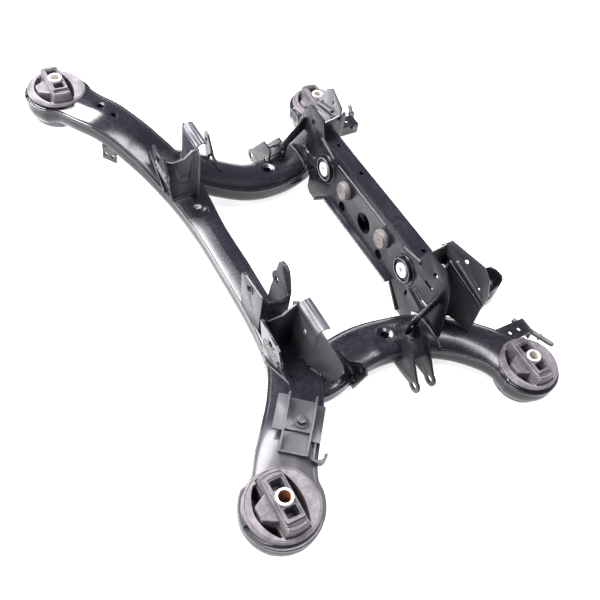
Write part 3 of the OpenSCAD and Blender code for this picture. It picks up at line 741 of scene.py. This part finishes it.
def crossing(grid, normal, offset):
    """Where the long lines of a grid pass the plane normal . p = offset, by linear interpolation."""
    side = grid @ np.asarray(normal, float) - offset
    swap = side[:-1] * side[1:] < 0
    i, j = swap.argmax(0), np.arange(grid.shape[1])
    t = (side[i, j] / (side[i, j] - side[i + 1, j] + 1e-12))[:, None]
    return (grid[i, j] * (1 - t) + grid[i + 1, j] * t)[swap.any(0)]


cross_top = shell(cross_path, True, *CROSS_ROLL)
rail_top = shell(right_rail, True, *RAIL_ROLL)
seams = []
for k in (1, -1):
    flip = np.array([k, 1, 1.0])
    inner = crossing(cross_top, [k, 0, 0], INNER_WALL)
    seams.append(inner[(inner[:, 1] > 122) & (inner[:, 1] < 178)])
    front = crossing(cross_top, [0, 1, 0], FRONT_WALL)  # the left wall, mirrored for the right
    seams.append(front[(front[:, 0] < -200) & (front[:, 0] > -300)] * [-k, 1, 1])
    flare = crossing(cross_top, *FLARE)
    seams.append(flare[(flare[:, 0] < -262) & (flare[:, 0] > -312)] * [-k, 1, 1])
    seams.append(crossing(rail_top, [0, 1, 0], PLATE_WALL)[5:-5] * flip)
    seams.append(np.array([(123, 448, -161), (167, 448, -206)]) * flip)
welds = solid("weld_beads", [bead(path, WELD, RIPPLE) for path in seams])
dress(welds, "coated_steel", sharp=SMOOTH)
print("welds:", len(seams), [len(path) for path in seams])

# %% [markdown]
# ## Pressed ridges
# Folds and stiffening ridges catch the light as thin bright lines. Each is a smooth bead sunk halfway
# into its wall: two along the leaning wall of a link bracket, one along the fold of a tower, and a
# ring round the embossed spot of each inner wall. The ears of the drive mount have rims of the same
# kind, and its front hole a ring. Cutting them into the sheet would take many small faces for the
# same line of light. A narrow black sheet closes the inner corner of each tower: it is painted
# shade, put over an opening that lies in shadow, so that the floor does not show through.

# %% Ridges on the walls
WALL_Y, WALL_LEAN = 113.4, 0.1512  # the leaning wall at 40 mm below the datum, and its lean
ridges = []
turn = np.linspace(0, 2 * np.pi, 41)
still = np.ones(41)
ring = np.stack([INNER_WALL * still, 151 + 9.5 * np.cos(turn), -72 + 9.5 * np.sin(turn)], -1)
for k in (1, -1):
    flip = np.array([k, 1, 1.0])
    for z in (-80, -66):
        y = WALL_Y - WALL_LEAN * (z + 40)
        ridges.append(bead(np.array([(203, y, z), (258, y, z)]) * flip, 3.4, n=16))
    ridges.append(bead(np.array([(208, 486.4, -25), (299.5, 505.8, -63.2)]) * flip, 4.2, n=20))
    ridges.append(bead(ring * flip, 1.2))
rims = {
    194: [(103, -16), (113, -4), (124, 0), (134, -5), (141, -21), (149, -43)],
    142: [(73, -59), (77, -49), (88, -44), (149, -38)],
}
ridges += [bead([(x, y, z) for x, z in rim], 2.7) for y, rim in rims.items()]
ridges.append(bead([(148, 141, -38), (148, 152, -55), (148, 184, -61), (148, 195, -47)], 2.5))
eye = np.stack([106 + 10 * np.cos(turn), 140 * still, -57 + 10 * np.sin(turn)], -1)
ridges.append(bead(eye, 1.3))
dress(solid("wall_ridges", ridges), "coated_steel", sharp=SMOOTH)
# painted shade: a black sheet over the open corner of each tower, which lies in shadow
shade_fill_outline = np.array([(189.0, 497.5), (206.5, 485.8), (208.5, 488.8), (190.5, 501.0)])
shade_fills = [slab(shade_fill_outline * [k, 1], -66, -18, 0.6) for k in (1, -1)]
dress(solid("tower_shade_fills", shade_fills), "coated_steel")
print("ridges:", len(ridges), "webs:", len(shade_fills))

# %% [markdown]
# ## Body bushings
# A bushing is a steel can pressed into an eye. Inside it a rubber block with straight sides carries a
# cast core with a bright sleeve. Two windows through the rubber make the bushing soft fore and aft,
# and a wedge of rubber stands in the front window as a stop. All four are set the same way round. One
# function for each piece is enough, as a bushing is only moved from eye to eye and never turned.

# %% Outlines of a bushing
CAN, CAN_IN, BLOCK, COLLAR = 50.0, 47.0, 19.5, 55.5


def rounded(points, radius, steps=6):
    """A convex outline with each corner replaced by an arc that touches both of its sides."""
    p = np.asarray(points, float)
    a = np.roll(p, 1, 0) - p
    b = np.roll(p, -1, 0) - p
    a /= np.linalg.norm(a, axis=1, keepdims=True)
    b /= np.linalg.norm(b, axis=1, keepdims=True)
    half = np.arccos(np.clip((a * b).sum(1), -1, 1)) / 2
    mid = p + (a + b) / np.linalg.norm(a + b, axis=1, keepdims=True) * (radius / np.sin(half))[:, None]
    first, last = p + a * (radius / np.tan(half))[:, None], p + b * (radius / np.tan(half))[:, None]
    t = np.linspace(0, 1, steps)[None, :, None]
    arc = (first - mid)[:, None] * (1 - t) + (last - mid)[:, None] * t
    arc *= radius / np.linalg.norm(arc, axis=2, keepdims=True)
    return (mid[:, None] + arc).reshape(-1, 2)


def flat_round(radius, half, n=18):
    """A circle cut by two straight lines at plus and minus half: the plan of the rubber block."""
    a = np.arcsin(half / radius)
    t = np.linspace(-a, a, n)
    side = np.stack([radius * np.cos(t), radius * np.sin(t)], -1)
    return np.vstack([side, -side])


def oblong(x, y, r):
    """A rectangle in plan, 2 x by 2 y, with round corners."""
    return rounded([(-x, -y), (x, -y), (x, y), (-x, y)], r)


def window(x, y0, y1, n=24):
    """A lens in plan: one straight side at y0 and one side that bulges to y1 along a parabola."""
    t = np.linspace(1, -1, n)
    bulge = np.stack([x * t, y0 + (y1 - y0) * (0.25 + 0.75 * (1 - t**2))], -1)
    return np.vstack([[[-x, y0], [x, y0]], bulge])


def windows(at):
    """The two gaps through can and rubber, behind and in front of the block."""
    return [slab(window(*size), -74, 0, 0, at) for size in ((38, 20, 31), (41, -20, -42))]


def hollow(r0, r1, z0, z1):
    """The profile of a square ring between two radii and two heights."""
    return [(r0, z0), (r1, z0), (r1, z1), (r0, z1), (r0, z0)]


print("points of the block's outline:", len(flat_round(CAN_IN, BLOCK)))

# %% [markdown]
# ## Can and rubber
# The collar of the can lies on the eye and has a fine groove near its rim. The rubber fills the can,
# stands up in the middle as a block that narrows to the top, and has two grooves of its own. One grid
# could not hold both the round rim and the straight block, so each piece is turned first, then opened,
# and what stands on it is joined on.

# %% Can and rubber of one bushing
def make_can(name, at):
    """A turned collar with the windows and the block's seat cut out, on a tube down into the eye."""
    collar = [(0, -31), (COLLAR, -31), (COLLAR, -27), (COLLAR - 1.6, -25), (0, -25)]
    can = solid(name + "_bush_can", [lathe(collar, at)])
    cut(can, windows(at))
    cut(can, [slab(flat_round(50.4, BLOCK + 0.8), -40, 0, 0, at)])
    cut(can, [lathe(hollow(51.8, 52.9, -26.2, -20), at)])
    merge(can, solid("tube", [lathe(hollow(CAN_IN, CAN, -84, -30), at)]))
    dress(can, "can_steel", [name + "_can"])


def make_rubber(name, at):
    """A turned bed with windows, a block and a stop on it, and room for sleeve, core and grooves."""
    profile = [(0, -80), (CAN_IN, -80), (CAN_IN, -34), (CAN_IN - 2, -32), (0, -32)]
    bed = solid(name + "_bush_rubber", [lathe(profile, at)])
    cut(bed, windows(at))
    block = slab(flat_round(48.5, BLOCK + 1), -50, -8, 3.0, at, top=flat_round(47.0, BLOCK - 3))
    stop = slab(rounded([(-23, -16), (-11, -38), (11, -38), (23, -16)], 2.5), -72, -19, 2.0, at)
    merge(bed, solid("block", [block]))
    merge(bed, solid("stop", [stop]))
    cut(bed, [drum(at[0], at[1], at[2] - 90, at[2] + 10, 12.6)])
    cut(bed, [slab(oblong(34.6, 14.6, 3), -44, 10, 0, at)])
    cut(bed, [lathe(hollow(r, r + 1.5, -9.6, 0), at) for r in (39.2, 44.6)])
    dress(bed, "bushing_rubber", [name + "_rubber"])


print("the can is", 2 * CAN, "mm across and its collar", 2 * COLLAR)

# %% [markdown]
# ## Core and sleeve
# The core is cast, with a flat recess on top and a deep pocket on each side of the sleeve. The sleeve
# is turned. The rust in its bore could be an image, but it only has to follow the inner wall: so each
# point carries a mark, which the finish reads, and which fades within a millimetre of that wall.

# %% Core and sleeve of one bushing
RUST_EDGE, RUST_FADE = 0.0098, 0.0007  # metres from the axis


def make_core(name, at):
    """An oblong block, bored for the sleeve, with a flat recess and two pockets."""
    core = solid(name + "_bush_core", [slab(oblong(35, 15, 3), -45, -3, 1.0, at)])
    cut(core, [drum(at[0], at[1], at[2] - 60, at[2] + 10, 13)])
    cut(core, [slab(oblong(31.5, 11.5, 2), -5, 10, 0, at)])
    sides = [(at[0] + s * 21.5, at[1], at[2]) for s in (-1, 1)]
    cut(core, [slab(oblong(7.5, 9.5, 2), -32, 10, 0, side) for side in sides])
    dress(core, "core_metal", [name + "_core"])


def make_sleeve(name, at, rust):
    """A turned tube; the mark of rust falls evenly with the distance from its inner wall."""
    profile = [(9, -88), (12.2, -88), (13, -87.2), (13, -0.9), (12.1, 0), (9.9, 0), (9, -0.9), (9, -88)]
    tube = dress(solid(name + "_bush_sleeve", [lathe(profile, at)]), "sleeve_metal", [name + "_sleeve"])
    spots = np.empty(3 * len(tube.data.vertices))
    tube.data.vertices.foreach_get("co", spots)
    spots = spots.reshape(-1, 3) - row(at)
    inside = np.clip((RUST_EDGE - np.hypot(spots[:, 0], spots[:, 1])) / RUST_FADE, 0, 1)
    mark = tube.data.attributes.new("bore", "FLOAT", "POINT")
    mark.data.foreach_set("value", inside * rust)


print("rust within", RUST_EDGE, "m of the axis")

# %% [markdown]
# ## All four bushings
# The four bushings are the same part, pressed in at four places. Linked copies would share one mesh,
# but each piece stands for a solid of its own and keeps its place in its mesh, so each is made anew.
# The sleeve at the front right shows the most rust.

# %% The bushings at the four eyes
eyes = {
    "front_left": (-480, 0, 0),
    "front_right": (480, 0, 0),
    "rear_left": (-400, 577, -123),
    "rear_right": (400, 577, -123),
}
for name, at in eyes.items():
    make_can(name, at)
    make_rubber(name, at)
    make_core(name, at)
    make_sleeve(name, at, 1.0 if name == "front_right" else 0.4)
print("bushings:", list(eyes))

# %% [markdown]
# ## Folded sheet with rounded edges
# A press leaves no knife edges on a bracket. The solids could be given live bevels, but their meshes
# are loose triangles, which a bevel would split. So each sheet piece is copied, its doubled points
# are merged, flat triangles are joined into whole faces, and a small bevel rounds every sharp edge.

# %% A rounded copy of a sheet piece
def soften(node, width, trim=(), lips=(), look=None, segments=3):
    """A copy of a solid, trimmed and given lips, with edges over 30 degrees rounded by a bevel."""
    source = nodes[node]
    mesh = source.data.copy()
    mesh.transform(source.matrix_world)
    work = bmesh.new()
    work.from_mesh(mesh)
    bmesh.ops.remove_doubles(work, verts=work.verts, dist=1e-5)
    bmesh.ops.dissolve_limit(work, angle_limit=np.radians(1.5), verts=work.verts, edges=work.edges)
    bmesh.ops.recalc_face_normals(work, faces=work.faces)
    work.to_mesh(mesh)
    work.free()
    obj = bpy.data.objects.new(node + "_soft", mesh)
    bpy.context.scene.collection.objects.link(obj)
    if trim:
        cut(obj, trim)
    if lips:
        merge(obj, solid("lip", lips))
    bevel = obj.modifiers.new("edges", "BEVEL")
    bevel.limit_method, bevel.angle_limit = "ANGLE", np.radians(30)
    bevel.width, bevel.segments = width / 1000.0, segments
    even = obj.modifiers.new("even", "WEIGHTED_NORMAL")
    even.keep_sharp = True
    baked(obj)
    return dress(obj, slots[node], [node], look=look)


print("sheet pieces can be softened")

# %% [markdown]
# ## Rolled lips of the link brackets
# The rear wall of a link bracket ends in a rolled lip, which carries a broad highlight. A wider bevel
# could round the edge but not curl past it. So the square edge is cut off outside a quarter circle,
# and a strip bent round the same axis is joined on.

# %% The lip of each link bracket
def corner(y, z, r, far, n=12):
    """What a roll of radius r takes off an edge along X: the outline outside a quarter circle."""
    a = np.linspace(np.pi, np.pi / 2, n)
    arc = np.stack([y + r + r * np.cos(a), z - r + r * np.sin(a)], -1)
    return np.vstack([arc, [[y + r, z + far], [y - far, z + far], [y - far, z - r]]])


def curl(y, z, r, thick, x0, x1, last=50.0, n=24):
    """A flat strip from x0 to x1 bent round an axis along X, from facing forward to past the top."""
    a = np.radians(np.linspace(180.0, last, n))[:, None]
    radius = np.array([r - thick, r - thick, r, r])
    x = np.broadcast_to([x0, x1, x1, x0], (n, 4))
    rings = np.stack([x, y + radius * np.cos(a), z + radius * np.sin(a)], -1)
    ends = rings[[0, -1]].mean(1, keepdims=True) * np.ones((1, 4, 1))
    return island(np.concatenate([ends[:1], rings, ends[1:]]))


roll = corner(175, 3, 14, 8)
trims = {"right_link_bracket": [bar(roll, 200, 266)], "left_link_bracket": [bar(roll, -266, -200)]}
lips = {
    "right_link_bracket": [curl(189, -11, 14.2, 3.4, 200, 265.5)],
    "left_link_bracket": [curl(189, -11, 14.2, 3.4, -265.5, -200)],
}
print("lips:", list(lips))

# %% [markdown]
# ## The sheet pieces
# Heavy brackets get the widest bevel and bolts the narrowest, in millimetres. A few pieces look
# different from the slot they belong to: the clip on the near arm is dusty, the plate is duller than
# the members, the right tower is greyer, and the troughs of the link brackets carry painted light.

# %% Widths and looks of the sheet pieces
sheet = {"rear_plate": 1.2, "rear_channel": 1.2, "drive_mount": 1.2, "stay": 0.8, "saddle": 0.8}
sheet.update(hose_bracket=0.8, stay_bolt=0.4, saddle_bolt=0.4, saddle_washer=0.3, hook=0.8)
sheet.update(left_rod=0.3, right_rod=0.3)
looks = {node: "dusty_steel" for node in ("saddle", "saddle_washer", "saddle_bolt", "hook")}
looks.update(rear_plate="plate_coat", drive_mount="plate_coat")
looks.update(right_tower_cap="tower_coat", right_tower_wall="tower_coat")
brackets = ("link_bracket", "tower_cap", "tower_wall", "strap", "lower_bracket", "shoulder_ear", "hanger")
fillings = ("drive_shell", "drive_rubber", "drive_sleeve", "plug")
for side in ("left", "right"):
    sheet.update({side + "_" + part: 1.3 for part in brackets})
    sheet.update({side + "_" + part: 0.6 for part in fillings})
    # painted light in each trough, from the trough coat
    looks[side + "_link_bracket"] = "trough_coat_painted_light"
    looks[side + "_drive_rubber"] = "dark_rubber"
    looks[side + "_drive_shell"] = "coated_steel"
for node, width in sheet.items():
    soften(node, width, trims.get(node, ()), lips.get(node, ()), looks.get(node))
print("rounded sheet pieces:", len(sheet))

# %% [markdown]
# ## Small lines on the plate
# Thin bright lines tell the eye that the plate is pressed sheet: a raised ring round each drive
# bushing, the edge of the lapped flange, a swage near each end, the bright rims of bushings and
# plugs, and a dot in each plug. A drawn line would stay dark from every side. Here a ring is a small
# circle carried round a large one, and a line is a bead sunk halfway.

# %% Rings, lines and dots of the plate
PLUGS, DRIVES, FACE = [(-70.5, -93), (70.5, -93)], [(-148, -100), (148, -100)], 449.0


def hoop(x, y, z, radius, r):
    """A torus round Y: a small circle of radius r carried round a circle of the given radius."""
    t = np.linspace(0, 2 * np.pi, 13)
    return lathe(np.stack([radius + r * np.cos(t), r * np.sin(t)], -1), (x, y, z), "y", 72)


lines = [hoop(x, FACE, z, 30.5, 1.8) for x, z in DRIVES]
lines.append(bead([(-112, FACE, -60), (66, FACE, -60), (75, FACE, -70)], 1.3))
lines.append(bead([(-124, FACE - 12, -158.5), (124, FACE - 12, -158.5)], 1.7))
swage = np.array([(188, FACE, -109), (216, FACE, -116), (244, FACE, -114)])
lines += [bead(swage * [k, 1, 1], 4.2, n=20) for k in (1, -1)]
dress(solid("plate_lines", lines), "coated_steel", sharp=SMOOTH)
dress(solid("drive_rims", [hoop(x, FACE - 7, z, 23.8, 1.0) for x, z in DRIVES]), "can_steel", sharp=SMOOTH)
dress(solid("plug_rims", [hoop(x, FACE - 11, z, 16.2, 0.9) for x, z in PLUGS]), "plug_grey", sharp=SMOOTH)
dot = [(0, 439.6), (1.95, 439.6), (1.95, 438.3), (0, 438.3)]
dots = [lathe(dot, (x, 0, z), "y", 24) for x, z in PLUGS]
dress(solid("plug_dots", dots), "plug_grey", look="dark_rubber")
print("plate lines:", len(lines), "plug dots:", len(dots))

# %% [markdown]
# ## Floor
# The part lies on plain white paper. White paint alone would turn grey away from the lights, so the
# paper also glows a little, which keeps the ground white and still lets soft shadows fall on it. It
# belongs to the stage and not to the part.

# %% Floor
FAR, DROP = 40.0, -0.0005
sheet_of_paper = bpy.data.meshes.new("floor")
corners = [(-FAR, -FAR, 0), (FAR, -FAR, 0), (FAR, FAR, 0), (-FAR, FAR, 0)]
sheet_of_paper.from_pydata(corners, [], [(0, 1, 2, 3)])
floor = bpy.data.objects.new("floor", sheet_of_paper)
floor.location.z = DROP
bpy.context.scene.collection.objects.link(floor)
paper = Finish("pale_paper")
tooth = paper.noise(30.0, 3.0, 0.5)
white = paper.close(
    base_color=paper.mix(tooth, (0.44, 0.44, 0.44), (0.47, 0.47, 0.47)),
    roughness=0.9,
    emission_color=(1.0, 1.0, 1.0, 1.0),
    emission_strength=0.62,
)
floor.data.materials.append(white)
print("floor", 2 * FAR, "m wide")

# %% [markdown]
# ## Light
# A black coat shows little but what it mirrors, so the lights are placed by where their reflections
# should fall. Small lamps would give hard dots. Large rectangles give the long soft highlights that
# run along the rails and round the eyes. A weak cold world fills the hollows.

# %% Lights and tone
world = bpy.data.worlds.new("studio")
world.use_nodes = True
world.node_tree.nodes["Background"].inputs["Color"].default_value = (0.90, 0.88, 1.0, 1.0)
world.node_tree.nodes["Background"].inputs["Strength"].default_value = 0.30
bpy.context.scene.world = world


def softbox(name, at, aim, size, power):
    """A rectangle of light at a point in metres, its back axis pointing away from its aim."""
    lamp = bpy.data.lights.new(name, "AREA")
    lamp.shape, lamp.size, lamp.size_y, lamp.energy = "RECTANGLE", size[0], size[1], power
    obj = bpy.data.objects.new(name, lamp)
    at, aim = np.asarray(at, float), np.asarray(aim, float)
    back = (at - aim) / np.linalg.norm(at - aim)
    side = np.cross((0.0, 0.0, 1.0), back)
    side /= np.linalg.norm(side)
    axes = np.eye(4)
    axes[:3, 0], axes[:3, 1], axes[:3, 2], axes[:3, 3] = side, np.cross(back, side), back, at
    obj.matrix_world = Matrix(axes.tolist())
    bpy.context.scene.collection.objects.link(obj)


MIDDLE = (0, 0, 0.1)
softbox("key", (-1.35, -0.75, 2.1), MIDDLE, (2.0, 1.2), 155)
softbox("overhead", (0.45, 0.20, 2.4), (0.15, 0.1, 0.1), (1.45, 0.55), 38)
softbox("front", (-1.5, -2.1, 1.1), MIDDLE, (1.8, 0.7), 75)
softbox("fill", (1.0, -1.75, 1.75), (0.1, 0, 0.1), (1.0, 0.5), 26)
softbox("rim", (0.8, 2.2, 1.2), MIDDLE, (1.6, 0.6), 36)
bpy.context.scene.view_settings.view_transform = "Standard"
bpy.context.scene.view_settings.look = "Medium High Contrast"
print("lamps:", len(bpy.data.lights))
